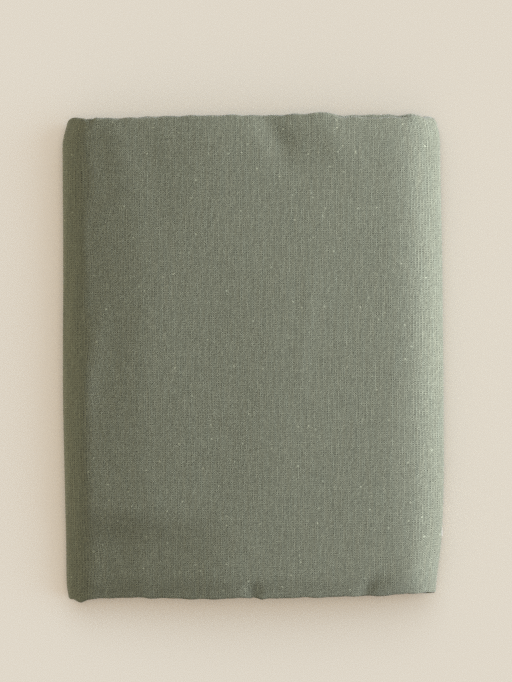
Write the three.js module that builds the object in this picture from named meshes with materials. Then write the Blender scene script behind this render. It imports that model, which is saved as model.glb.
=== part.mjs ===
// A woven tablecloth, folded into a flat packet as it is stored.
//
// The cloth is folded three times in half along its length, which makes a strip of eight layers, called
// a pass. The strip is folded in half across, so that two passes lie on each other, and then in thirds.
// The packet so has three panels of two passes each: the top panel, the lower panel that wraps round the
// left fold, and the panel that turns in at the right fold and is tucked between the other two.
// Millimetres. X runs across the packet, Y along it, and Z up from the face that it lies on.
import * as THREE from "three";

// Driving dimensions
const packetWidth = 242;
const packetLength = 304;
const layerPitch = 0.6875;
const layersInPass = 8;
const hemWidth = 12;
const hemSetBack = 6.5; // from the packet's right side to the lower panel's free end
const stitchWidth = 0.6;
const clearance = 0.3; // between neighbouring solids
const spineHalfAngle = 25; // degrees of the left fold, each way, that stay stiff as the packet opens
const labelWidth = 32;
const labelThickness = 0.8;
const labelPlace = -100; // the label's middle along Y
const labelSetBack = 1; // from the packet's right side to the label's loop
const clothSetBack = 1.5; // from the packet's -Y side to the free ends of the cloth
const foldSetBack = 2; // the same at the folds, whose solids carry no hem
const thinNoseSetBack = 1; // from the packet's -Y side to its thinner nose
const thickNoseSteps = 8;
const middleNoseSteps = 6;
const thinNoseSteps = 4;
const bendSteps = 8;
const spineSteps = 6;
const rightFoldSteps = 14;
const endFoldSteps = 10;

// What follows from them
const half = clearance / 2;
const passThickness = layerPitch * layersInPass;
const bundle = 2 * passThickness;
const packetHeight = 3 * bundle;
const left = -packetWidth / 2;
const right = packetWidth / 2;
const leftRadius = packetHeight / 2;
const leftCentre = { x: left + leftRadius, z: leftRadius };
const leftMid = leftRadius - passThickness;
const rightRadius = bundle;
const rightCentre = { x: right - rightRadius, z: packetHeight - rightRadius };
const rightMid = rightRadius - passThickness;
const endFoldX = leftCentre.x + 1;
const freeEnd = right - hemSetBack;
const clothEdge = -packetLength / 2 + clothSetBack;
const seamStart = clothEdge + hemWidth + clearance;
const seamEnd = seamStart + stitchWidth;
const hemTop = 2 * layerPitch - half;
const hiddenFace = passThickness - half;

const lowerMid = passThickness;
const tuckedMid = lowerMid + bundle;
const topMid = tuckedMid + bundle;

const sage = new THREE.Color(0.2, 0.225, 0.165);
const thread = new THREE.Color(0.25, 0.27, 0.2);
const tape = new THREE.Color(0.75, 0.73, 0.68);

const cloth = () => new THREE.MeshStandardMaterial({ color: sage, roughness: 0.95, metalness: 0 });
const sewing = () => new THREE.MeshStandardMaterial({ color: thread, roughness: 0.8, metalness: 0 });
const labelTape = () => new THREE.MeshStandardMaterial({ color: tape, roughness: 0.7, metalness: 0 });

const model = new THREE.Group();

function add(name, geometry, material) {
  const mesh = new THREE.Mesh(geometry, material);
  mesh.name = name;
  model.add(mesh);
}

// Section points are (y, t), where t is the distance from the face where the two passes meet.
function nose(y, low, high, side, steps) {
  const radius = (high - low) / 2;
  const points = [];
  for (let i = 0; i <= steps; i++) {
    const angle = (Math.PI * i) / steps - Math.PI / 2;
    const t = (low + high) / 2 + side * radius * Math.sin(angle);
    points.push(new THREE.Vector2(y - side * radius * (1 - Math.cos(angle)), t));
  }
  return points;
}

// One pass seen from its end. All its folds nest in one round nose at +Y. At -Y it has a thick nose, a
// thin nose, and the two free ends of the cloth, where the short hems lie.
function passSection(outerFace, hemSlot) {
  const end = packetLength / 2;
  const freeEnds = 2 * layerPitch;
  const thinNose = 4 * layerPitch;
  const stop = hemSlot ? seamEnd + 3 * clearance : -end + foldSetBack;
  return [
    ...nose(end, half, outerFace, 1, thickNoseSteps),
    ...nose(-end, thinNose, outerFace, -1, middleNoseSteps),
    ...nose(-end + thinNoseSetBack, freeEnds, thinNose, -1, thinNoseSteps),
    new THREE.Vector2(stop, freeEnds),
    new THREE.Vector2(stop, half),
  ];
}

function barSection(low, high, bottom, top) {
  return [
    new THREE.Vector2(low, bottom),
    new THREE.Vector2(high, bottom),
    new THREE.Vector2(high, top),
    new THREE.Vector2(low, top),
  ];
}

// Carries a (y, t) section along frames { x, z, nx, nz }, where t runs along (nx, nz), and caps both ends.
function sweep(section, frames) {
  const outline = THREE.ShapeUtils.isClockWise(section) ? [...section].reverse() : section;
  const count = outline.length;
  const positions = [];
  for (const { x, z, nx, nz } of frames) {
    for (const point of outline) {
      positions.push(x + point.y * nx, point.x, z + point.y * nz);
    }
  }
  const index = [];
  for (let f = 0; f + 1 < frames.length; f++) {
    for (let j = 0; j < count; j++) {
      const k = (j + 1) % count;
      const a = f * count + j;
      const b = f * count + k;
      const c = (f + 1) * count + k;
      const d = (f + 1) * count + j;
      index.push(a, b, c, a, c, d);
    }
  }
  const last = (frames.length - 1) * count;
  for (const [a, b, c] of THREE.ShapeUtils.triangulateShape(outline, [])) {
    index.push(c, b, a);
    index.push(last + a, last + b, last + c);
  }
  if (signedVolume(positions, index) < 0) {
    index.reverse();
  }
  const geometry = new THREE.BufferGeometry();
  geometry.setAttribute("position", new THREE.Float32BufferAttribute(positions, 3));
  geometry.setIndex(index);
  geometry.computeVertexNormals();
  return geometry;
}

function signedVolume(positions, index) {
  const corner = (i) => new THREE.Vector3().fromArray(positions, 3 * i);
  let sum = 0;
  for (let i = 0; i < index.length; i += 3) {
    sum += corner(index[i]).dot(corner(index[i + 1]).cross(corner(index[i + 2]))) / 6;
  }
  return sum;
}

function flatFrames(fromX, toX, z, up) {
  return [fromX, toX].map((x) => ({ x, z, nx: 0, nz: up }));
}

function arcFrames(centre, radius, fromDegrees, toDegrees, side, steps) {
  const frames = [];
  for (let i = 0; i <= steps; i++) {
    const angle = THREE.MathUtils.degToRad(fromDegrees + ((toDegrees - fromDegrees) * i) / steps);
    const c = Math.cos(angle);
    const s = Math.sin(angle);
    frames.push({ x: centre.x + radius * c, z: centre.z + radius * s, nx: side * c, nz: side * s });
  }
  return frames;
}

const shortHem = barSection(clothEdge, clothEdge + hemWidth, half, hemTop);
const shortSeam = barSection(seamStart, seamEnd, half, hemTop);

// One pass of a panel, with its short hem and the stitching that holds the hem down
function addPanelPass(panel, layer, frames, outerFace) {
  add(`${panel}_panel_${layer}`, sweep(passSection(outerFace, true), frames), cloth());
  add(`short_hem_${panel}_${layer}`, sweep(shortHem, frames), cloth());
  add(`short_hem_stitching_${panel}_${layer}`, sweep(shortSeam, frames), sewing());
}

// Lower panel, with the long hems and their stitching at its free end
const hemStart = freeEnd - hemWidth;
const longSeamEnd = hemStart - clearance;
const lowerEnd = longSeamEnd - stitchWidth - clearance;
for (const [layer, up, outerFace] of [["outer", -1, passThickness], ["inner", 1, hiddenFace]]) {
  addPanelPass("lower", layer, flatFrames(leftCentre.x + half, lowerEnd, lowerMid, up), outerFace);
  const seamFrames = flatFrames(longSeamEnd - stitchWidth, longSeamEnd, lowerMid, up);
  add(`long_hem_stitching_${layer}`, sweep(passSection(hiddenFace, false), seamFrames), sewing());
  const hemFrames = flatFrames(hemStart, freeEnd, lowerMid, up);
  add(`long_hem_${layer}`, sweep(passSection(outerFace, false), hemFrames), cloth());
}

// Blank care label, a loop of tape sewn into the long hem
function careLabel() {
  const start = freeEnd + clearance;
  const radius = labelThickness / 2;
  const loopX = right - labelSetBack - radius;
  const outline = new THREE.Shape();
  outline.moveTo(start, -radius);
  outline.lineTo(loopX, -radius);
  outline.absarc(loopX, 0, radius, -Math.PI / 2, Math.PI / 2, false);
  outline.lineTo(start, radius);
  const geometry = new THREE.ExtrudeGeometry(outline, {
    depth: labelWidth,
    bevelEnabled: false,
    curveSegments: 6,
  });
  geometry.rotateX(Math.PI / 2);
  geometry.translate(0, labelPlace + labelWidth / 2, lowerMid);
  return geometry;
}
add("care_label", careLabel(), labelTape());

// Left fold: the stiff spine and the two stretches that bend as the packet opens
const leftGap = THREE.MathUtils.radToDeg(half / leftMid);
const leftStretches = [
  ["left_fold_lower", 270 - leftGap, 180 + spineHalfAngle + leftGap, bendSteps],
  ["left_fold_spine", 180 + spineHalfAngle, 180 - spineHalfAngle, spineSteps],
  ["left_fold_upper", 180 - spineHalfAngle - leftGap, 90 + leftGap, bendSteps],
];
for (const [name, from, to, steps] of leftStretches) {
  const outer = arcFrames(leftCentre, leftMid, from, to, 1, steps);
  const inner = arcFrames(leftCentre, leftMid, from, to, -1, steps);
  add(`${name}_outer`, sweep(passSection(passThickness, false), outer), cloth());
  add(`${name}_inner`, sweep(passSection(hiddenFace, false), inner), cloth());
}

// Top panel
const panelLeft = leftCentre.x + half;
const panelRight = rightCentre.x - half;
addPanelPass("top", "outer", flatFrames(panelLeft, panelRight, topMid, 1), passThickness);
addPanelPass("top", "inner", flatFrames(panelLeft, panelRight, topMid, -1), hiddenFace);

// Right fold
const rightGap = THREE.MathUtils.radToDeg(half / rightMid);
const rightOuter = arcFrames(rightCentre, rightMid, 90 - rightGap, -90 + rightGap, 1, rightFoldSteps);
const rightInner = arcFrames(rightCentre, rightMid, 90 - rightGap, -90 + rightGap, -1, rightFoldSteps);
add("right_fold_outer", sweep(passSection(passThickness, false), rightOuter), cloth());
add("right_fold_inner", sweep(passSection(hiddenFace, false), rightInner), cloth());

// Tucked panel, and the fold at its end where one pass turns back into the other
const tuckedLeft = endFoldX + half;
addPanelPass("tucked", "outer", flatFrames(tuckedLeft, panelRight, tuckedMid, -1), hiddenFace);
addPanelPass("tucked", "inner", flatFrames(tuckedLeft, panelRight, tuckedMid, 1), hiddenFace);
const endFold = arcFrames({ x: endFoldX - half, z: tuckedMid }, 0, 270, 90, 1, endFoldSteps);
add("tucked_end_fold", sweep(passSection(hiddenFace, false), endFold), cloth());

export default model;
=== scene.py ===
# A tablecloth folded into a flat packet. The cloth's real fold path is followed layer by layer: three
# half folds along its length make a pass of eight layers, one half fold across gives two passes, and two
# more folds across make three panels of two passes each. Lengths in the functions are millimetres, and
# meshes are written in metres.
import math

import bpy
import numpy as np
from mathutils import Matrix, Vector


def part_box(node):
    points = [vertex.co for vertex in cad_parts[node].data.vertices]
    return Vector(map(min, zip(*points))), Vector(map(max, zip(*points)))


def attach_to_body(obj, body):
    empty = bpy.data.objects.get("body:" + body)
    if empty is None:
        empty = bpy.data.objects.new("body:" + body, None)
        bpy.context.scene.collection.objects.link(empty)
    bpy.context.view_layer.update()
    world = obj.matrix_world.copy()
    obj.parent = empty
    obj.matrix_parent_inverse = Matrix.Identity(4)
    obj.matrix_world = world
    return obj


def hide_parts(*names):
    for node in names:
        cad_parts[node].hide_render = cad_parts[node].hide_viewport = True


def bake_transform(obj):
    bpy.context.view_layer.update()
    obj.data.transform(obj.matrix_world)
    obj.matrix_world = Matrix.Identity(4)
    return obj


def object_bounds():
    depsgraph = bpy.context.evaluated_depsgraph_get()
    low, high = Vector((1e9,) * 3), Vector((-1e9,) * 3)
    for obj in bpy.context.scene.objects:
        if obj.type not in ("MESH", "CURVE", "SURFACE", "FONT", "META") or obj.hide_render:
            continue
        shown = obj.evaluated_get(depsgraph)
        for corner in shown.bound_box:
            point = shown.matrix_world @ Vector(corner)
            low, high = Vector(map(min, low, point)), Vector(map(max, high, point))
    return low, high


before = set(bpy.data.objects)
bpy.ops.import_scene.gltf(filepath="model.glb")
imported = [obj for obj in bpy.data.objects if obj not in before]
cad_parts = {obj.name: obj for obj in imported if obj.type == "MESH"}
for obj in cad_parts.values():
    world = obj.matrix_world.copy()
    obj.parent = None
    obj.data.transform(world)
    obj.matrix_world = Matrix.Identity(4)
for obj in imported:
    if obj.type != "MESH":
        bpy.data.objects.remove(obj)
cad_low, cad_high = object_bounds()

MM = 0.001

# ---------------------------------------------------------------- sizes, from the frame
packet_width = (cad_high.x - cad_low.x) / MM
packet_length = (cad_high.y - cad_low.y) / MM
packet_height = (cad_high.z - cad_low.z) / MM
pass_thickness = packet_height / 6
bundle = 2 * pass_thickness
layer_pitch = pass_thickness / 8
half_width = packet_width / 2
half_length = packet_length / 2
left_radius = packet_height / 2
left_stretch = 1.15  # how much further each fold reaches sideways than a round one
right_stretch = 2.0
left_centre = (-half_width + left_radius * left_stretch, left_radius)
left_mid = left_radius - pass_thickness
right_mid = bundle - pass_thickness
right_centre = (half_width - bundle * right_stretch, packet_height - bundle)
lower_mid, tucked_mid, top_mid = pass_thickness, 3 * pass_thickness, 5 * pass_thickness
free_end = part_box("long_hem_outer")[1].x / MM
hem_width = free_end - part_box("long_hem_outer")[0].x / MM
end_fold_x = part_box("tucked_end_fold")[1].x / MM
hem_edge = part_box("short_hem_top_outer")[0].y / MM

cloth_length = 2400.0
hem_cover = 1.0  # how far a hem's band stands out past the edge of the cloth in it

# ---------------------------------------------------------------- small helpers


def smoothstep(t):
    t = np.clip(t, 0.0, 1.0)
    return t * t * (3 - 2 * t)


def ramp(distance, side, start, width):
    """0 up to start toward the given side of the packet, and 1 from start + width on."""
    return smoothstep((side * distance - start) / width)


def near(distance, edge, reach):
    """1 at the edge, and 0 from reach inside it."""
    return smoothstep((distance - edge + reach) / reach)


def waves(seed, wavelengths, amplitude):
    """A smooth random function of one length, the sum of one sine for each wavelength."""
    rng = np.random.default_rng(seed)
    phases = rng.uniform(0, 2 * math.pi, len(wavelengths))
    weights = rng.uniform(0.6, 1.0, len(wavelengths))
    weights /= math.sqrt((weights**2).sum())

    def value(s):
        s = np.asarray(s, float)
        total = np.zeros_like(s)
        for length, phase, weight in zip(wavelengths, phases, weights):
            total += weight * np.sin(2 * math.pi * s / length + phase)
        return amplitude * total

    return value


def ripples(seed, count, shortest, longest, amplitude):
    """A smooth random function of two lengths."""
    rng = np.random.default_rng(seed)
    angles = rng.uniform(0, math.pi, count)
    lengths = rng.uniform(shortest, longest, count)
    phases = rng.uniform(0, 2 * math.pi, count)

    def value(x, y):
        total = np.zeros(np.broadcast(x, y).shape)
        for angle, length, phase in zip(angles, lengths, phases):
            along = x * math.cos(angle) + y * math.sin(angle)
            total += np.sin(2 * math.pi * along / length + phase)
        return amplitude * total / math.sqrt(count)

    return value


# ---------------------------------------------------------------- the path across the packet
# A station is (bx, bz, dx, dz): a layer at distance t from the face between the two passes lies at
# (bx + t dx, bz + t dz).


def flat_run(from_x, to_x, z, up, step):
    count = max(2, round(abs(to_x - from_x) / step) + 1)
    xs = np.linspace(from_x, to_x, count)
    return np.stack([xs, np.full(count, z), np.zeros(count), np.full(count, up)], axis=1)


def arc_run(centre, mid, from_deg, to_deg, side, steps, stretch=1.0, power=1.0):
    """Stations round a fold. power above 1 crowds them at the start."""
    share = np.linspace(0, 1, steps + 1) ** power
    angle = np.radians(from_deg + (to_deg - from_deg) * share)
    dx, dz = stretch * np.cos(angle), np.sin(angle)
    return np.stack(
        [centre[0] + mid * dx, centre[1] + mid * dz, side * dx, side * dz], axis=1
    )


def joined(*runs):
    """The runs end to end, each without the station that it shares with the last."""
    return np.concatenate([runs[0]] + [run[1:] for run in runs[1:]])


def path_lengths(stations, start):
    """How far along the cloth each station is, measured at the middle of the pass, from start."""
    middle = pass_thickness / 2
    x = stations[:, 0] + middle * stations[:, 2]
    z = stations[:, 1] + middle * stations[:, 3]
    return start + np.concatenate([[0], np.cumsum(np.hypot(np.diff(x), np.diff(z)))])


# ---------------------------------------------------------------- the path along the packet
# Where each of the eight lengths of the cloth lies in a pass, counted from the face between the passes
layer_of_length = [0, 7, 4, 3, 2, 5, 6, 1]
nose_stretch = 1.4  # how much further the end folds reach out than round ones
nose_squareness = 0.75  # below 1 makes them fuller than round ones
fine_step = 2.5
coarse_step = 14.0
nose_steps = 8


def layer_height(layer):
    return (layer + 0.5) * layer_pitch


def along_path():
    """(y, t) of points along the whole 2.4 m of a pass, and the direction square to the cloth there."""
    far_radius = 3.5 * layer_pitch  # of the widest end fold at +Y
    near_radius = 1.5 * layer_pitch  # of the widest one at -Y
    far = half_length - nose_stretch * far_radius
    close = -half_length + nose_stretch * near_radius
    last = len(layer_of_length) - 1
    points = []
    for number, layer in enumerate(layer_of_length):
        going_up = number % 2 == 0
        start = hem_edge + hem_cover if number == 0 else (close if going_up else far)
        stop = hem_edge + hem_cover if number == last else (far if going_up else close)
        step = fine_step if layer == last else coarse_step
        count = round(abs(stop - start) / step) + 1
        for y in np.linspace(start, stop, count):
            points.append((y, layer_height(layer)))
        if number == last:
            break
        low, high = layer_height(layer), layer_height(layer_of_length[number + 1])
        centre, radius = (low + high) / 2, abs(high - low) / 2
        outward = nose_stretch if going_up else -nose_stretch
        turn = 1 if high > low else -1
        for i in range(1, nose_steps):
            angle = math.pi * i / nose_steps - math.pi / 2
            reach = math.cos(angle) ** nose_squareness
            rise = math.copysign(abs(math.sin(angle)) ** nose_squareness, angle)
            y = (far if going_up else close) + outward * radius * reach
            points.append((y, centre + turn * radius * rise))
    points = np.array(points)
    tangent = np.gradient(points, axis=0)
    tangent /= np.linalg.norm(tangent, axis=1, keepdims=True)
    normal = np.stack([-tangent[:, 1], tangent[:, 0]], axis=1)
    return points, normal


along, along_normal = along_path()
along_length = np.concatenate(
    [[0], np.cumsum(np.linalg.norm(np.diff(along, axis=0), axis=1))]
)
along_v = along_length / along_length[-1] * cloth_length

# ---------------------------------------------------------------- how the ideal packet settles
# All of it in millimetres, as moves of the points of the ideal packet
edge_waves = {
    (layer, side): waves(seed, wavelengths=[13, 21, 37, 64, 118], amplitude=0.42)
    for seed, (layer, side) in enumerate(
        [("outer", 1), ("outer", -1), ("inner", 1), ("inner", -1)], start=11
    )
}
edge_zone = 34  # how far in from the packet's ends the layers' edges wander
roll_waves = ripples(seed=31, count=6, shortest=40, longest=120, amplitude=1.6)
surface_ripples = ripples(seed=32, count=9, shortest=45, longest=130, amplitude=0.08)
fine_ripples = ripples(seed=33, count=14, shortest=9, longest=24, amplitude=0.035)
fold_drift = waves(seed=34, wavelengths=[47, 83, 131, 210], amplitude=2.4)
fold_drift_middle, fold_drift_reach = -96, 20  # the left fold's crest wanders across here

bunching = 0.45  # how far layers crowd together and spread apart
bunching_low, bunching_high = 6, 9  # it starts over the lowest 6 mm and fades over the highest 9
bunching_at_top = 0.12  # what is left of it there

# The upper surface stands this high over the CAD packet, and falls with x and y squared
crown = 0.9
crown_fall_x = 0.00035
crown_fall_y = 0.00005

# It also falls toward both ends, and rolls off toward the +X side
end_fall, end_fall_reach, end_fall_power = 1.6, 16, 1.5
right_fall, right_fall_start, right_fall_width, right_fall_power = 9.0, 84, 37, 2.2

# Its broad falls: depth, then side, start and width across the packet (X) and, for a corner, along it (Y)
falls = [
    (1.95, (-1, 66, 46), None),
    (4.0, (-1, 10, 85), (-1, 94, 24)),
    (1.5, (1, 25, 80), (1, 70, 50)),
]

# Its swells and creases: middle (x, y), direction of the crest in degrees, length, width and height
swells = [
    (14, 140, -62, 15, 6, -1.4),
    (48, 142, -58, 24, 9, 1.3),
    (84, 124, -50, 26, 12, 0.7),
    (-86, 132, -75, 18, 7, 0.35),
    (-66, 124, -75, 22, 8, -0.35),
    (-104, -12, 78, 26, 5, 0.7),
    (33, 18, 82, 26, 3, 0.3),
    (-2, -149, 90, 4, 2.6, -1.0),
    (70, -147, 48, 6, 2.4, -1.3),
    (90, -140, 36, 12, 3.5, 0.6),
    (98, -132, 55, 11, 3.5, 0.45),
    (-25, 132, 90, 34, 22, 0.8),
    (12, -22, 80, 60, 18, 0.5),
    (-68, 2, 90, 50, 20, 0.4),
    (100, -60, 85, 34, 10, -0.5),
    (20, -50, 0, 60, 2.5, -0.14),
    (-111, 55, 90, 42, 8, -0.7),
    (-99, -62, 90, 38, 9, 0.4),
]

corner_reach = 34  # how far in from the packet's sides the corners' pulls reach
corner_power = 1.6

# How each corner is drawn in: sides of the packet (x, y), distance, and the length that it fades over.
# One corner is drawn in twice, over a long and a short length.
corner_pulls = [
    (-1, 1, 3.2, 20),
    (-1, -1, 1.2, 12),
    (1, 1, 2.4, 18),
    (1, -1, 3.0, 90),
    (1, -1, 2.3, 44),
]

mark_reach = 10  # how far in from the ends the small moves below reach

# Small moves of the upper layers' end folds: end of the packet, middle, width and outward move
edge_marks = [
    (1, -103.2, 1.5, -2.6),
    (1, -86, 9.5, -1.1),
    (1, 45, 5, 1.8),
    (1, 56.5, 3, -1.1),
    (1, 87, 3.5, 0.7),
    (1, 94, 3, -0.9),
    (1, 104, 6, 1.6),
    (1, 117, 5, -1.6),
    (-1, -116.0, 1.3, -0.6),
    (-1, -110.5, 2.4, 1.5),
    (-1, -100, 12, 0.4),
    (-1, 4.0, 2.2, 0.9),
    (-1, -0.5, 1.6, -1.0),
    (-1, 88, 1.4, -0.5),
    (-1, 98, 18, -1.8),
]

left_fold_reach = 1.8  # how far the left fold's -Y end stands out
left_fold_start, left_fold_width, left_fold_length = 104, 10, 20  # the part of it that does
left_side_bow = 1.0  # the same for the -X side, near its middle
left_bow_middle, left_bow_length = -20, 60
right_side_bow = 0.96  # from the ends of the +X side to its middle
side_start, side_width = 60, 60  # the part of the packet that bows at either side
top_set_back = 1.9  # of the uppermost pass's +Y end, toward the +X side
set_back_start, set_back_width = 45, 35
set_back_turn = 1.4  # how fast that set-back ends round the folds


def top_height(x, y):
    """Height of the upper surface over the floor."""
    height = packet_height + crown - crown_fall_x * x**2 - crown_fall_y * y**2
    for depth, across, lengthwise in falls:
        share = ramp(x, *across)
        if lengthwise:
            share = share * ramp(y, *lengthwise)
        height = height - depth * share
    height = height - end_fall * near(np.abs(y), half_length, end_fall_reach) ** end_fall_power
    right_share = np.clip((x - right_fall_start) / right_fall_width, 0, 1)
    height = height - right_fall * right_share**right_fall_power
    for cx, cy, direction, length, width, rise in swells:
        c, s = math.cos(math.radians(direction)), math.sin(math.radians(direction))
        a = (x - cx) * c + (y - cy) * s
        b = -(x - cx) * s + (y - cy) * c
        height = height + rise * np.exp(-0.5 * ((a / length) ** 2 + (b / width) ** 2))
    return height + surface_ripples(x, y) + fine_ripples(x, y)


def settle(x, y, z):
    """Moves the ideal packet's points to where the real, soft one lies. Layers keep their order."""
    below_top = smoothstep((packet_height - z) / bunching_high)
    inside = smoothstep(z / bunching_low) * (bunching_at_top + (1 - bunching_at_top) * below_top)
    z = z + inside * bunching * np.sin(2 * math.pi * z / bundle + roll_waves(x, y))
    for side_x, side_y, pull, fade in corner_pulls:
        near_end = near(side_y * y, half_length, fade)
        near_side = near(side_x * x, half_width, corner_reach)
        x = x - side_x * pull * near_end**corner_power * near_side
    upper = smoothstep((z - tucked_mid) / bundle)
    for side_y, middle, width, move in edge_marks:
        near_end = near(side_y * y, half_length, mark_reach)
        y = y + side_y * move * near_end * upper * np.exp(-0.5 * ((x - middle) / width) ** 2)
    fold_end = ramp(x, -1, left_fold_start, left_fold_width) * near(-y, half_length, left_fold_length)
    y = y - left_fold_reach * fold_end
    left_bow = np.exp(-(((y - left_bow_middle) / left_bow_length) ** 2))
    x = x - left_side_bow * left_bow * ramp(x, -1, side_start, side_width)
    x = x + fold_drift(y) * upper * smoothstep(1 - np.abs(x - fold_drift_middle) / fold_drift_reach)
    right_bow = np.cos(math.pi * y / packet_length) - 0.5
    x = x + right_side_bow * right_bow * ramp(x, 1, side_start, side_width)
    share = top_height(x, y) / packet_height
    return x, y, z * share


def place(stations, s, layer, y, t):
    """Points of the soft packet. stations and s run down the first index, y and t down the second."""
    ends = near(np.abs(y), half_length, edge_zone)[None, :]
    at_far_end = (y > 0)[None, :]
    shift = np.where(at_far_end, edge_waves[layer, 1](s)[:, None], -edge_waves[layer, -1](s)[:, None])
    if layer == "outer":
        facing_up = smoothstep(set_back_turn * stations[:, 3]) * (stations[:, 1] > tucked_mid)
        set_back = top_set_back * ramp(stations[:, 0], 1, set_back_start, set_back_width) * facing_up
        shift = shift - np.where(at_far_end, set_back[:, None], 0)
    ys = y[None, :] + ends * shift
    xs = stations[:, 0:1] + t[None, :] * stations[:, 2:3]
    zs = stations[:, 1:2] + t[None, :] * stations[:, 3:4]
    xs, ys, zs = settle(xs, ys, zs)
    return np.stack([xs, ys, zs], axis=-1) * MM


# ---------------------------------------------------------------- mesh making
packet = bpy.data.collections.new("packet")
bpy.context.scene.collection.children.link(packet)


def new_object(name, vertices, faces, uv=None, material=None):
    """A smooth mesh object. uv has one pair for each vertex, in metres of cloth."""
    mesh = bpy.data.meshes.new(name)
    mesh.from_pydata(vertices.tolist(), [], faces)
    mesh.polygons.foreach_set("use_smooth", np.ones(len(mesh.polygons), bool))
    if uv is not None:
        layer = mesh.uv_layers.new(name="cloth")
        loops = np.zeros(len(mesh.loops), np.int32)
        mesh.loops.foreach_get("vertex_index", loops)
        layer.data.foreach_set("uv", uv[loops].astype(np.float32).ravel())
    mesh.update()
    obj = bpy.data.objects.new(name, mesh)
    packet.objects.link(obj)
    if material:
        obj.data.materials.append(material)
    return obj


def grid_faces(rows, columns):
    index = np.arange(rows * columns).reshape(rows, columns)
    quads = np.stack([index[:-1, :-1], index[1:, :-1], index[1:, 1:], index[:-1, 1:]], -1)
    return quads.reshape(-1, 4).tolist()


def tube_faces(rows, columns):
    """Faces of a closed band: each row is a ring, and both ends are capped."""
    index = np.arange(rows * columns).reshape(rows, columns)
    around = np.roll(index, -1, axis=1)
    quads = np.stack([index[:-1], index[1:], around[1:], around[:-1]], -1).reshape(-1, 4)
    return quads.tolist() + [index[0].tolist(), index[-1][::-1].tolist()]


def sheet_object(name, stations, s, layer, material):
    points = place(stations, s, layer, along[:, 0], along[:, 1])
    rows, columns = points.shape[:2]
    u, v = np.meshgrid(s, along_v, indexing="ij")
    uv = np.stack([u, v], axis=-1).reshape(-1, 2) * MM
    return new_object(name, points.reshape(-1, 3), grid_faces(rows, columns), uv, material)


# ---------------------------------------------------------------- materials
specular_level = 0.15
sheen_roughness = 0.35


class Nodes:
    """Short calls for building a material's nodes."""

    def __init__(self, material):
        material.use_nodes = True
        self.tree = material.node_tree
        self.tree.nodes.clear()

    def node(self, kind, **settings):
        made = self.tree.nodes.new(kind)
        for key, value in settings.items():
            setattr(made, key, value)
        return made

    def join(self, source, socket):
        if isinstance(source, bpy.types.NodeSocket):
            self.tree.links.new(source, socket)
        else:
            socket.default_value = source

    def math(self, operation, *values):
        made = self.node("ShaderNodeMath", operation=operation)
        for value, socket in zip(values, made.inputs):
            self.join(value, socket)
        return made.outputs[0]

    def plus(self, first, *others):
        total = first
        for other in others:
            total = self.math("ADD", total, other)
        return total

    def minus(self, first, second):
        return self.math("SUBTRACT", first, second)

    def times(self, first, second):
        return self.math("MULTIPLY", first, second)

    def mix(self, share, low, high):
        """low at share 0 and high at share 1, for numbers."""
        made = self.node("ShaderNodeMix", data_type="FLOAT")
        for value, index in ((share, 0), (low, 2), (high, 3)):
            self.join(value, made.inputs[index])
        return made.outputs[0]

    def swing(self, share, amount):
        """From -amount at share 0 to amount at share 1."""
        return self.mix(share, -amount, amount)

    def mix_colour(self, share, low, high, blend="MIX"):
        made = self.node("ShaderNodeMix", data_type="RGBA", blend_type=blend)
        for value, index in ((share, 0), (low, 6), (high, 7)):
            self.join(value, made.inputs[index])
        return made.outputs[2]

    def toned(self, colour, tone):
        """The colour times a number."""
        return self.mix_colour(1.0, colour, self.vector(tone, tone, tone), "MULTIPLY")

    def vector(self, x, y, z=0.0):
        made = self.node("ShaderNodeCombineXYZ")
        for value, socket in zip((x, y, z), made.inputs):
            self.join(value, socket)
        return made.outputs[0]

    def noise(self, place, scales, detail=2.0):
        """A smooth noise at a place (x, y), with a scale for each: how many cells there are in 1."""
        made = self.node("ShaderNodeTexNoise", noise_dimensions="2D")
        scaled = [self.times(value, scale) for value, scale in zip(place, scales)]
        self.join(self.vector(*scaled), made.inputs["Vector"])
        made.inputs["Scale"].default_value = 1.0
        made.inputs["Detail"].default_value = detail
        return made.outputs[0]

    def white(self, vector):
        made = self.node("ShaderNodeTexWhiteNoise", noise_dimensions="2D")
        self.join(vector, made.inputs["Vector"])
        return made.outputs[0]

    def ribs(self, value):
        """A sine of value that runs from 0 to 1."""
        return self.plus(self.times(self.math("SINE", value), 0.5), 0.5)

    def cloth_uv(self):
        made = self.node("ShaderNodeUVMap", uv_map="cloth")
        parts = self.node("ShaderNodeSeparateXYZ")
        self.join(made.outputs[0], parts.inputs[0])
        return parts.outputs[0], parts.outputs[1]

    def finish(self, colour, height, relief, roughness, sheen):
        """The shader, with the height as relief: how deep it is, in metres, from 0 to 1."""
        bump = self.node("ShaderNodeBump")
        bump.inputs["Strength"].default_value = 1.0
        bump.inputs["Distance"].default_value = relief
        self.join(height, bump.inputs["Height"])
        shader = self.node("ShaderNodeBsdfPrincipled")
        self.join(colour, shader.inputs["Base Color"])
        shader.inputs["Roughness"].default_value = roughness
        shader.inputs["Specular IOR Level"].default_value = specular_level
        shader.inputs["Sheen Weight"].default_value = sheen
        shader.inputs["Sheen Roughness"].default_value = sheen_roughness
        self.join(bump.outputs[0], shader.inputs["Normal"])
        out = self.node("ShaderNodeOutputMaterial")
        self.join(shader.outputs[0], out.inputs[0])


def shaded(colour, *factors):
    """The colour as four numbers, times one factor or one for each channel."""
    if len(factors) == 1:
        factors = factors * 3
    return [channel * factor for channel, factor in zip(colour, factors)] + [1.0]


# The weave: its yarns' spacing, and how far they wander from straight lines, in yarns
yarn_pitch_x = 0.74 * MM
yarn_pitch_y = 0.70 * MM
warp_wander, weft_wander = 1.6, 1.2

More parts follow.
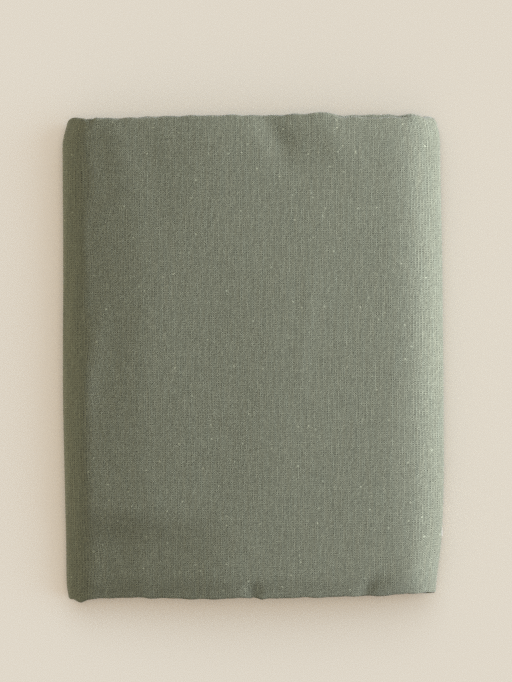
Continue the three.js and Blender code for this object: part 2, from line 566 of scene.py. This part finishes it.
# Its tone, which is about 1, and what changes it
gap_shade_tone, yarn_tone = 0.85, 1.07  # painted shade between the yarns, and the full tone on top of them
warp_lift = 0.2  # more where the warp is on top, and less where the weft is: partly a lighter warp yarn, partly painted side light on the yarns
warp_pairs, weft_pairs = 0.135, 0.11  # more or less on every other yarn
warp_uneven, weft_uneven = 0.3, 0.21  # along a yarn
crossing_uneven, crossing_middle, beside_share = 0.6, 0.05, 0.45  # from crossing to crossing
streak_uneven = 0.24  # over a few centimetres of one warp yarn
patch_uneven = 0.015  # over a few centimetres of the cloth
slub_tone, slub_threshold, slub_softness = 0.9, 0.6, 0.02  # where a noise is over the threshold
pair_clarity = 2.0  # the pairs fade in and out, from 0 to this
nep_tone, nep_radius = 0.8, 0.13  # the radius is in nep cells
nep_density, nep_rarity = 230.0, 0.965  # cells for each metre, and the share of them without a nep
tone_middle, tone_contrast, lowest_tone = 0.97, 0.62, 0.05
cool_tint, warm_tint = (0.97, 1.0, 1.02), (1.04, 1.0, 0.97)

# Its relief, with the middle of a warp yarn at 1
weft_height = 0.86
yarn_end_height = 0.5  # where a yarn dips under the next one
uneven_height = 0.5  # of thick stretches and slubs
weave_relief = 0.22 * MM
weave_sheen = 0.25


def weave_material(name, colour, slubs=1.0):
    """Plain weave of uneven yarns: each crossing is a rounded cell that shows the upper yarn, with painted
    shade in its gaps.

    A noise along a yarn has the yarn's number as its other coordinate, with an uneven scale, so that every
    yarn has its own. The other scales are for each metre of cloth.
    """
    material = bpy.data.materials.new(name)
    n = Nodes(material)
    u, v = n.cloth_uv()
    drift = n.noise((u, v), (70.0, 70.0))
    bent_u = n.plus(n.math("DIVIDE", u, yarn_pitch_x), n.times(drift, warp_wander))
    bent_v = n.plus(n.math("DIVIDE", v, yarn_pitch_y), n.times(drift, weft_wander))
    warp, weft = n.math("FLOOR", bent_u), n.math("FLOOR", bent_v)
    next_warp, next_weft = n.plus(warp, 1.0), n.plus(weft, 1.0)
    across_warp = n.math("SINE", n.times(n.math("FRACT", bent_u), math.pi))
    across_weft = n.math("SINE", n.times(n.math("FRACT", bent_v), math.pi))
    warp_up = n.math("FLOORED_MODULO", n.plus(warp, weft), 2.0)
    warp_cell = n.times(across_warp, n.mix(across_weft, yarn_end_height, 1.0))
    weft_cell = n.times(across_weft, n.mix(across_warp, yarn_end_height, 1.0))
    cell = n.mix(warp_up, n.times(weft_cell, weft_height), warp_cell)

    # thick and thin stretches, paired yarns, streaks and crossings
    warp_tone = n.noise((warp, v), (7.31, 210.0))
    weft_tone = n.noise((u, weft), (220.0, 5.77))
    warp_pair = n.math("FLOORED_MODULO", warp, 2.0)
    weft_pair = n.math("FLOORED_MODULO", weft, 2.0)
    pairs = n.plus(n.swing(warp_pair, warp_pairs), n.swing(weft_pair, weft_pairs))
    clarity = n.noise((u, v), (240.0, 120.0), detail=1.0)
    streak, next_streak = (n.noise((yarn, v), (9.7, 40.0), detail=0.0) for yarn in (warp, next_warp))
    beside = n.plus(n.white(n.vector(next_warp, weft)), n.white(n.vector(warp, next_weft)))
    crossing = n.minus(n.white(n.vector(warp, weft)), n.times(beside, beside_share))

    # short slubs in the warp, and a few pale neps
    slub_noise = n.noise((warp, v), (3.13, 190.0), detail=0.0)
    slub = n.math("SMOOTH_MAX", n.minus(slub_noise, slub_threshold), 0.0, slub_softness)
    nep_cells = n.node("ShaderNodeTexVoronoi", voronoi_dimensions="2D", feature="F1")
    n.join(n.vector(u, v), nep_cells.inputs["Vector"])
    nep_cells.inputs["Scale"].default_value = nep_density
    nep_pick = n.math("GREATER_THAN", n.white(nep_cells.outputs["Position"]), nep_rarity)
    nep = n.times(nep_pick, n.math("LESS_THAN", nep_cells.outputs["Distance"], nep_radius))

    # The tone carries painted shade: it falls from the yarns' tops into the gaps between them.
    tone = n.plus(
        n.mix(cell, gap_shade_tone, yarn_tone),
        n.swing(warp_up, warp_lift),
        n.times(pairs, n.times(clarity, pair_clarity)),
        n.plus(n.swing(warp_tone, warp_uneven), n.swing(weft_tone, weft_uneven)),
        n.times(n.minus(crossing, crossing_middle), crossing_uneven),
        n.times(n.minus(streak, next_streak), streak_uneven),
        n.times(slub, slub_tone * slubs),
    )
    tone = n.plus(n.times(n.minus(tone, tone_middle), tone_contrast), tone_middle)
    patch = n.noise((u, v), (26.0, 18.0), detail=3.0)
    tone = n.times(n.math("MAXIMUM", tone, lowest_tone), n.mix(patch, 1 - patch_uneven, 1 + patch_uneven))
    tone = n.plus(tone, n.times(nep, nep_tone))
    warmth = n.noise((warp, v), (1.7, 45.0), detail=1.0)
    base = n.mix_colour(warmth, shaded(colour, *cool_tint), shaded(colour, *warm_tint))
    shade = n.toned(base, tone)
    yarn_height = n.mix(warp_up, weft_tone, warp_tone)
    height = n.plus(cell, n.times(n.plus(yarn_height, slub), uneven_height))
    n.finish(shade, height, weave_relief, roughness=1.0, sheen=weave_sheen)
    return material


# Radians for each metre: the thread's plies along the frame's axes, and the tape's ribs both ways
ply_rate_y, ply_rate_xz = 9000.0, 5000.0
rib_rate_u, rib_rate_v = 14000.0, 20000.0


def thread_material(name, colour):
    """Twisted sewing thread: slanting plies, with painted shade between them."""
    material = bpy.data.materials.new(name)
    n = Nodes(material)
    frame_place = n.node("ShaderNodeNewGeometry")
    parts = n.node("ShaderNodeSeparateXYZ")
    n.join(frame_place.outputs["Position"], parts.inputs[0])
    x, y, z = parts.outputs
    ply = n.ribs(n.plus(n.times(y, ply_rate_y), n.times(n.plus(x, z), ply_rate_xz)))
    # painted shade in the grooves between the plies, and lighter on their crests
    shade = n.mix_colour(ply, shaded(colour, 0.7), shaded(colour, 1.15))
    n.finish(shade, ply, 0.04 * MM, roughness=0.6, sheen=0.2)
    return material


def tape_material(name, colour):
    """Woven label tape with fine ribs, with painted shade between them."""
    material = bpy.data.materials.new(name)
    n = Nodes(material)
    u, v = n.cloth_uv()
    rib, cross = n.ribs(n.times(u, rib_rate_u)), n.ribs(n.times(v, rib_rate_v))
    # painted shade in the grooves between the ribs
    weave = n.times(n.mix(rib, 0.7, 1.0), n.mix(cross, 0.85, 1.0))
    patch = n.noise((u, v), (300.0, 300.0))
    tone = n.times(weave, n.mix(patch, 0.92, 1.08))
    n.finish(n.toned(shaded(colour, 1.0), tone), weave, 0.05 * MM, roughness=0.7, sheen=0.2)
    return material


sage = [0.1775, 0.187, 0.134]
cloth_weave = weave_material("sage_weave", sage)
hem_weave = weave_material("sage_weave_pressed", [c * 0.98 for c in sage], slubs=0.8)
thread = thread_material("sage_thread", [0.24, 0.255, 0.19])
tape = tape_material("label_tape", [0.72, 0.69, 0.62])

# ---------------------------------------------------------------- the five stretches of the cloth
surface_step = 2.5
hidden_step = 6.0
fine_edge_step = 0.9  # beside the left fold, where the end folds have small dents
fine_stretch = 18.0  # how far from the left fold that step is used
fold_steps = 30
right_fold_steps = 44
end_fold_steps = 10
crowding = 1.7  # crowds the left fold's steps at its middle, the packet's outermost line


def lower_run(side, step):
    """Lower panel from the free end, and the left fold up to its middle."""
    flat = flat_run(free_end - hem_cover, left_centre[0], lower_mid, -side, step)
    fold = arc_run(left_centre, left_mid, 180, 270, side, fold_steps, left_stretch, crowding)
    return joined(flat, fold[::-1])


def top_run(side, step):
    """The left fold from its middle, the top panel and the right fold."""
    fold = arc_run(left_centre, left_mid, 180, 90, side, fold_steps, left_stretch, crowding)
    fine_end = left_centre[0] + fine_stretch
    fine = flat_run(left_centre[0], fine_end, top_mid, side, min(step, fine_edge_step))
    flat = flat_run(fine_end, right_centre[0], top_mid, side, step)
    turn = arc_run(right_centre, right_mid, 90, -90, side, right_fold_steps, right_stretch)
    return joined(fold, fine, flat, turn)


def tucked_run(step):
    """The tucked panel's outer pass, the fold at its end, and its inner pass back to the right fold."""
    outer = flat_run(right_centre[0], end_fold_x, tucked_mid, -1, step)
    fold = arc_run((end_fold_x, tucked_mid), 0, 270, 90, 1, end_fold_steps)
    inner = flat_run(end_fold_x, right_centre[0], tucked_mid, 1, step)
    return joined(outer, fold, inner)


runs = {
    "lower_outer": (lower_run(1, surface_step), "outer"),
    "top_outer": (top_run(1, surface_step), "outer"),
    "tucked": (tucked_run(hidden_step), "outer"),
    "top_inner": (top_run(-1, hidden_step)[::-1], "inner"),
    "lower_inner": (lower_run(-1, hidden_step)[::-1], "inner"),
}

start = hem_cover
lengths = {}
for name, (stations, layer) in runs.items():
    lengths[name] = path_lengths(stations, start)
    start = lengths[name][-1]

# Each stretch's two bodies and how far the bend would reach on each side of the fold's centre. A stretch
# with one body is attached to it; the others are not bent here.
bends = {
    "lower_outer": ("lower_leaf", "left_fold", (-1, 1), left_mid),
    "lower_inner": ("lower_leaf", "left_fold", (-1, 1), left_mid - pass_thickness),
    "top_outer": ("left_fold", "upper_leaf", (1, 1), left_mid),
    "top_inner": ("left_fold", "upper_leaf", (1, 1), left_mid - pass_thickness),
    "tucked": ("upper_leaf", None, None, None),
}


def attach(obj, name):
    """Makes obj move with the stretch of cloth of that name if it has one body, and otherwise only bakes
    its transform.
    """
    first, second, direction, reach = bends[name]
    if second is None:
        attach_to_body(obj, first)
        return
    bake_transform(obj)


stood_for = {
    "lower_outer": ["lower_panel_outer", "left_fold_lower_outer", "left_fold_spine_outer"],
    "lower_inner": ["lower_panel_inner", "left_fold_lower_inner", "left_fold_spine_inner"],
    "top_outer": ["top_panel_outer", "left_fold_upper_outer", "right_fold_outer"],
    "top_inner": ["top_panel_inner", "left_fold_upper_inner", "right_fold_inner"],
    "tucked": ["tucked_panel_outer", "tucked_panel_inner", "tucked_end_fold"],
}
sheets = {}
for name, (stations, layer) in runs.items():
    piece = sheet_object(f"cloth_{name}", stations, lengths[name], layer, cloth_weave)
    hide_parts(*stood_for[name])
    sheets[name] = piece

# ---------------------------------------------------------------- hems, stitching and label
hem_thickness = 0.56
stitch_length = 2.4
stitch_spacing = 3.0
stitch_radius = 0.33
seam_inset = 1.2  # from the hem's inner edge to its stitching


def band_outline(low, high):
    """A flat band's section from low to high, with rounded long edges: (distance, offset) pairs."""
    r = hem_thickness / 2
    return [
        (low, 0), (low + 0.3 * r, -0.7 * r), (low + r, -r), (high - r, -r),
        (high - 0.3 * r, -0.7 * r), (high, 0), (high - 0.3 * r, 0.7 * r), (high - r, r),
        (low + r, r), (low + 0.3 * r, 0.7 * r),
    ]


def hem_station(layer, x):
    """The lower panel's station at x beside its free end, and how far along the cloth it is."""
    up = -1.0 if layer == "outer" else 1.0
    s = free_end - x if layer == "outer" else lengths["lower_inner"][-1] + x - free_end
    return np.array([[x, lower_mid, 0.0, up]]), np.array([s])


def long_hem(layer):
    """The turned edge along the cloth's 2.4 m, through all eight layers of a pass."""
    outline = band_outline(free_end - hem_width, free_end)
    lines, reaches = [], []
    for x, offset in outline:
        station, s = hem_station(layer, x)
        path = along + offset * along_normal
        lines.append(place(station, s, layer, path[:, 0], path[:, 1])[0])
        reaches.append(s[0])
    points = np.stack(lines, axis=1)
    u, v = np.meshgrid(reaches, along_v)
    uv = np.stack([u, v], axis=-1).reshape(-1, 2) * MM
    faces = tube_faces(len(along), len(outline))
    return new_object(f"long_hem_band_{layer}", points.reshape(-1, 3), faces, uv, hem_weave)


def short_hem(name, layer, stations, s):
    """The turned ends of the cloth along its 1.4 m: the first two layers of a pass."""
    outline = np.array(band_outline(hem_edge, hem_edge + hem_width))
    vertices, faces, uvs = [], [], []
    for depth, v_start in ((0, 0), (1, cloth_length - hem_width)):
        points = place(stations, s, layer, outline[:, 0], layer_height(depth) + outline[:, 1])
        base = sum(len(block) for block in vertices)
        faces += [[base + i for i in face] for face in tube_faces(*points.shape[:2])]
        vertices.append(points.reshape(-1, 3))
        u, v = np.meshgrid(s, v_start + outline[:, 0] - hem_edge, indexing="ij")
        uvs.append(np.stack([u, v], axis=-1).reshape(-1, 2) * MM)
    return new_object(name, np.concatenate(vertices), faces, np.concatenate(uvs), hem_weave)


stitch_sides = 6
stitch_rings = [(-0.72, 0.75), (0.0, 1.0), (0.72, 0.75)]  # share of the half length, and of the radius


def grains(name, centres, directions):
    """One mesh of small stitches, each a rounded length of thread lying along its direction."""
    vertices, faces = [], []
    up = np.array([0.0, 0.0, 1.0])
    for centre, direction in zip(centres, directions):
        direction = direction / np.linalg.norm(direction)
        across = np.cross(direction, up)
        if np.linalg.norm(across) < 0.3:  # the stitch stands nearly upright
            across = np.cross(direction, [1.0, 0.0, 0.0])
        across /= np.linalg.norm(across)
        third = np.cross(across, direction)
        base = len(vertices)
        for along_share, width_share in stitch_rings:
            for k in range(stitch_sides):
                angle = 2 * math.pi * k / stitch_sides
                ring = math.cos(angle) * across + math.sin(angle) * third
                offset = along_share * stitch_length / 2 * direction + width_share * stitch_radius * ring
                vertices.append(centre + offset * MM)
        tip = len(vertices)
        vertices.append(centre - direction * stitch_length / 2 * MM)
        vertices.append(centre + direction * stitch_length / 2 * MM)
        last_ring = base + (len(stitch_rings) - 1) * stitch_sides
        for ring_start in range(base, last_ring, stitch_sides):
            for k in range(stitch_sides):
                a, b = ring_start + k, ring_start + (k + 1) % stitch_sides
                faces.append([a, b, b + stitch_sides, a + stitch_sides])
        for k in range(stitch_sides):
            beyond = (k + 1) % stitch_sides
            faces.append([tip, base + beyond, base + k])
            faces.append([tip + 1, last_ring + k, last_ring + beyond])
    return new_object(name, np.array(vertices), faces, None, thread)


def spaced(points):
    """Centres and directions of stitches at even distances along a line of points."""
    spacing, nudge = stitch_spacing * MM, 0.5 * MM
    steps = np.linalg.norm(np.diff(points, axis=0), axis=1)
    reach = np.concatenate([[0], np.cumsum(steps)])
    at = np.arange(spacing / 2, reach[-1], spacing)
    behind, centres, ahead = (
        np.stack([np.interp(at + shift, reach, points[:, k]) for k in range(3)], axis=1)
        for shift in (-nudge, 0, nudge)
    )
    return centres, ahead - behind


def long_stitching(layer):
    station, s = hem_station(layer, free_end - hem_width + seam_inset)
    line = place(station, s, layer, along[:, 0], along[:, 1])[0]
    return grains(f"long_hem_seam_{layer}", *spaced(line))


def short_stitching(name, layer, stations, s):
    y = np.array([hem_edge + hem_width - seam_inset])
    rows = [
        spaced(place(stations, s, layer, y, np.array([layer_height(depth)]))[:, 0])
        for depth in (0, 1)
    ]
    centres, directions = (np.concatenate(part) for part in zip(*rows))
    return grains(name, centres, directions)


on_sheet = {name: [] for name in runs}


def finished(obj, stretch, slot_name, *nodes):
    """Hides the CAD nodes that a finished hem or seam stands for, and attaches it as its stretch of cloth
    is attached. slot_name is not used.
    """
    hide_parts(*nodes)
    attach(obj, stretch)
    on_sheet[stretch].append(obj)


for layer in ("outer", "inner"):
    stretch = f"lower_{layer}"
    finished(long_hem(layer), stretch, "hem_cloth", f"long_hem_{layer}")
    stitching = long_stitching(layer)
    finished(stitching, stretch, "hem_thread", f"long_hem_stitching_{layer}")

for name, (stations, layer) in runs.items():
    passes = ["tucked_outer", "tucked_inner"] if name == "tucked" else [name]
    hem = short_hem(f"short_hem_{name}_band", layer, stations, lengths[name])
    finished(hem, name, "hem_cloth", *(f"short_hem_{one}" for one in passes))
    seam = short_stitching(f"short_hem_{name}_seam", layer, stations, lengths[name])
    finished(seam, name, "hem_thread", *(f"short_hem_stitching_{one}" for one in passes))

label_insert = 4.0  # how far the tape reaches in between the hems
label_turn_steps = 8
label_points = 25  # along its width
label_droop, label_droop_start, label_wave = 0.5, 6, 0.16  # its free part is slightly wavy
label_lowered, label_pressed = 0.3, 0.83  # the hems around it lie lower than the CAD ones
label_section_pitch = 1.2  # between the section's points on the tape


def care_label():
    """A blank loop of tape, sewn in between the two long hems."""
    low, high = (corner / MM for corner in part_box("care_label"))
    radius = (high.z - low.z) / 2
    middle = (high.z + low.z) / 2
    section = [(low.x - label_insert, middle - radius / 2)]
    for i in range(label_turn_steps + 1):
        angle = math.pi * i / label_turn_steps - math.pi / 2
        section.append((high.x - radius + radius * math.cos(angle), middle + radius * math.sin(angle)))
    section.append((low.x - label_insert, middle + radius / 2))
    ys = np.linspace(low.y, high.y, label_points)
    points = np.zeros((len(section), len(ys), 3))
    uv = np.zeros((len(section), len(ys), 2))
    for i, (x, z) in enumerate(section):
        free = smoothstep((x - low.x) / label_droop_start)
        droop = label_droop * free * np.sin((ys - low.y) * label_wave)
        zs = z * label_pressed + droop - label_lowered
        points[i] = np.stack([np.full(len(ys), x), ys, zs], axis=1) * MM
        uv[i] = np.stack([np.full(len(ys), i * label_section_pitch), ys - low.y], axis=1) * MM
    faces = grid_faces(len(section), len(ys))
    return new_object("care_label_loop", points.reshape(-1, 3), faces, uv.reshape(-1, 2), tape)


label = care_label()
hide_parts("care_label")
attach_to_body(label, "lower_leaf")
on_sheet["lower_outer"].append(label)

for name, piece in sheets.items():
    attach(piece, name)

# ---------------------------------------------------------------- floor, camera and light
# In metres
floor_reach = 60.0  # from the packet to the floor's edges, so that they aren't seen
floor_colour = (0.755, 0.668, 0.557, 1)
floor_roughness = 0.9
floor_specular = 0.1
light_distance = 1.4
world_colour = (1.02, 0.97, 0.92, 1)
world_strength = 0.43
camera_height = 1.25
camera_place = (0.0016, 0.0098)
camera_turn = -0.5  # degrees
view_height = 0.4275  # what the frame's long side shows at the packet's upper surface
sensor_size = 36.0  # millimetres, as the lens
scene = bpy.context.scene


def make_floor():
    corners = [(x * floor_reach, y * floor_reach, 0) for x, y in ((-1, -1), (1, -1), (1, 1), (-1, 1))]
    mesh = bpy.data.meshes.new("floor")
    mesh.from_pydata(corners, [], [[0, 1, 2, 3]])
    obj = bpy.data.objects.new("floor", mesh)
    scene.collection.objects.link(obj)
    material = bpy.data.materials.new("pale_floor")
    n = Nodes(material)
    shader = n.node("ShaderNodeBsdfPrincipled")
    shader.inputs["Base Color"].default_value = floor_colour
    shader.inputs["Roughness"].default_value = floor_roughness
    shader.inputs["Specular IOR Level"].default_value = floor_specular
    out = n.node("ShaderNodeOutputMaterial")
    n.join(shader.outputs[0], out.inputs[0])
    obj.data.materials.append(material)
    return obj


floor = make_floor()
stage = bpy.data.collections.new("stage")
scene.collection.children.link(stage)
stage.objects.link(floor)


def add_light(light, direction, distance, receivers):
    """Aims the light at the packet from a direction (azimuth, elevation), to light only its receivers."""
    obj = bpy.data.objects.new(light.name, light)
    scene.collection.objects.link(obj)
    azimuth, elevation = (math.radians(angle) for angle in direction)
    flat = math.cos(elevation)
    away = np.array([math.cos(azimuth) * flat, math.sin(azimuth) * flat, math.sin(elevation)])
    obj.location = away * distance
    obj.rotation_euler = (math.pi / 2 - elevation, 0, azimuth + math.pi / 2)
    obj.light_linking.receiver_collection = receivers


def packet_light(name, direction, size, brightness, colour):
    """A soft square light on the packet. brightness is what a white surface facing it shows."""
    light = bpy.data.lights.new(name, "AREA")
    light.shape = "SQUARE"
    light.size = size
    light.energy = brightness * math.pi**2 * light_distance**2
    light.color = colour
    add_light(light, direction, light_distance, packet)


def stage_light(name, direction, softness, brightness, colour):
    """A light that falls alike on the whole floor. softness is its width in degrees."""
    light = bpy.data.lights.new(name, "SUN")
    light.angle = math.radians(softness)
    light.energy = brightness * math.pi
    light.color = colour
    add_light(light, direction, 0, stage)


packet_light("key", (14, 14), 0.42, 2.68, (0.955, 1.0, 1.13))
packet_light("fill", (178, 5), 1.0, 0.66, (1.0, 0.89, 0.51))
packet_light("front", (-95, 12), 1.0, 0.04, (1.0, 0.96, 0.9))
packet_light("back", (92, 8), 1.0, 0.2, (1.0, 0.93, 0.8))
stage_light("overhead", (0, 88), 36, 0.29, (1.14, 0.92, 0.65))
stage_light("window", (85, 55), 60, 0.25, (0.7, 1.02, 1.34))
stage_light("side", (2, 30), 50, 0.29, (0.54, 0.95, 1.36))

world = bpy.data.worlds.new("studio")
world.use_nodes = True
background = world.node_tree.nodes["Background"]
background.inputs["Color"].default_value = world_colour
background.inputs["Strength"].default_value = world_strength
scene.world = world
scene.view_settings.view_transform = "Standard"
scene.cycles.use_denoising = False  # it would smear the weave

camera_data = bpy.data.cameras.new("camera")
camera_data.sensor_width = sensor_size
camera_data.lens = sensor_size * (camera_height - packet_height * MM) / view_height
camera = bpy.data.objects.new("camera", camera_data)
scene.collection.objects.link(camera)
camera.location = (*camera_place, camera_height)
camera.rotation_euler = (0, 0, math.radians(camera_turn))
scene.camera = camera
